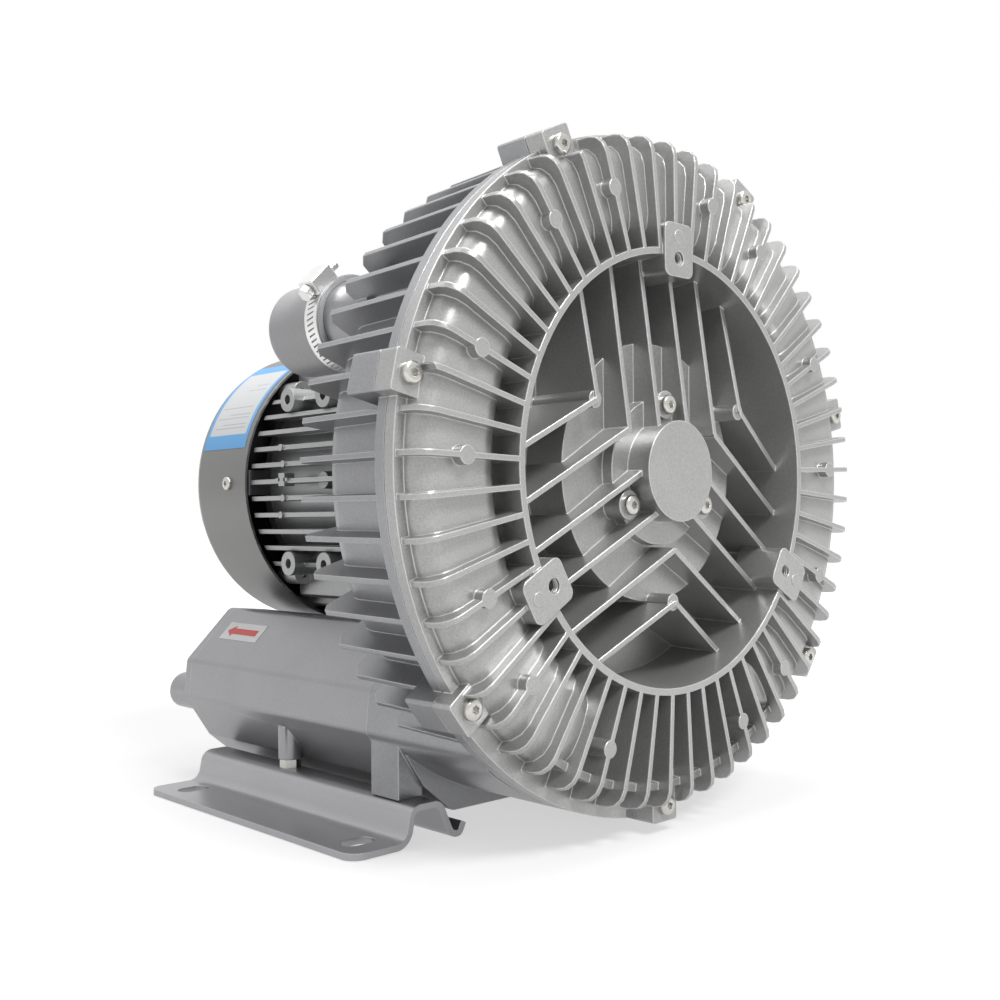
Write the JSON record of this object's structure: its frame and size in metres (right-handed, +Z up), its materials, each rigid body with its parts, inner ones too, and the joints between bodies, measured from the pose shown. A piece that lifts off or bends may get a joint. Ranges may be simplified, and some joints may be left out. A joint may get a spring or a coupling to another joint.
{
  "type": "side channel blower",
  "caption": "Side channel blower with a finned round casing, flanged motor with fan cowl, two silencers, foot rails and a capped spare port.",
  "frame": {"origin": "middle of the four foot slots, on the floor", "axes": "+Z up, -Y towards the front cover, +Y towards the motor's fan cowl, +X to the right seen from the front"},
  "size_m": [0.4116, 0.385, 0.4159],
  "materials": {
    "cast_cover": "satin cast, sprayed silver",
    "cast_housing": "satin cast, sprayed silver",
    "motor_paint": "satin cast, darker silver",
    "cowl_paint": "satin silver paint on sheet steel",
    "silencer_aluminium": "satin silver",
    "rail_steel": "satin silver paint on pressed steel",
    "box_paint": "satin silver paint",
    "screw_steel": "bright",
    "clamp_zinc": "bright zinc",
    "cap_rubber": "matt grey",
    "seal_rubber": "matt black",
    "impeller_aluminium": "machined",
    "turned_steel": "turned",
    "core_steel": "laminated",
    "end_ring_aluminium": "cast",
    "winding_copper": "enamelled copper",
    "fan_plastic": "matt black",
    "block_plastic": "matt black",
    "stud_brass": "bright",
    "foam": "open foam"
  },
  "bodies": {
    "machine": {"bearing_retainer": "turned_steel", "blanking_plug": "block_plastic", "cable_gland": "block_plastic", "casing_bolts": "screw_steel", "casing_gasket": "seal_rubber", "clamp_band": "clamp_zinc", "clamp_housing": "clamp_zinc", "cowl_screws": "screw_steel", "fan_cowl": "cowl_paint", "foot_bolts": "screw_steel", "foot_nuts": "screw_steel", "foot_rail_left": "rail_steel", "foot_rail_right": "rail_steel", "front_bearing_outer_ring": "turned_steel", "front_cover": "cast_cover", "gland_seal": "seal_rubber", "motor_flange_bolts": "screw_steel", "motor_frame": "motor_paint", "motor_tie_bolts": "screw_steel", "rear_bearing_outer_ring": "turned_steel", "rear_end_shield": "motor_paint", "rear_housing": "cast_housing", "retainer_screws": "screw_steel", "rubber_cap": "cap_rubber", "shaft_seal": "seal_rubber", "silencer_body_left": "silencer_aluminium", "silencer_body_right": "silencer_aluminium", "silencer_end_left": "silencer_aluminium", "silencer_end_right": "silencer_aluminium", "silencer_end_screws": "screw_steel", "silencer_foam_left": "foam", "silencer_foam_right": "foam", "stator_core": "core_steel", "stator_windings": "winding_copper", "terminal_block": "block_plastic", "terminal_box": "box_paint", "terminal_box_gasket": "seal_rubber", "terminal_box_lid": "box_paint", "terminal_lid_screws": "screw_steel", "terminal_studs": "stud_brass", "wave_spring": "turned_steel"},
    "rotor": {"shaft": "turned_steel", "impeller": "impeller_aluminium", "impeller_key": "turned_steel", "impeller_spacer": "turned_steel", "shaft_end_washer": "screw_steel", "shaft_end_screw": "screw_steel", "front_bearing_inner_ring": "turned_steel", "rear_bearing_inner_ring": "turned_steel", "rotor_core": "core_steel", "rotor_end_rings": "end_ring_aluminium", "cooling_fan": "fan_plastic", "fan_clamp": "turned_steel"},
    "clamp_worm": {"clamp_screw": "clamp_zinc"}
  },
  "joints": [
    {"name": "rotor_spin", "type": "hinge", "parent": "machine", "child": "rotor", "pos_m": [0, 0, 0.216], "axis": [0, 1, 0], "continuous": true},
    {"name": "clamp_worm_turn", "type": "hinge", "parent": "machine", "child": "clamp_worm", "pos_m": [-0.15196, -0.061, 0.33146], "axis": [-0.7071, 0, -0.7071], "continuous": true}
  ]
}
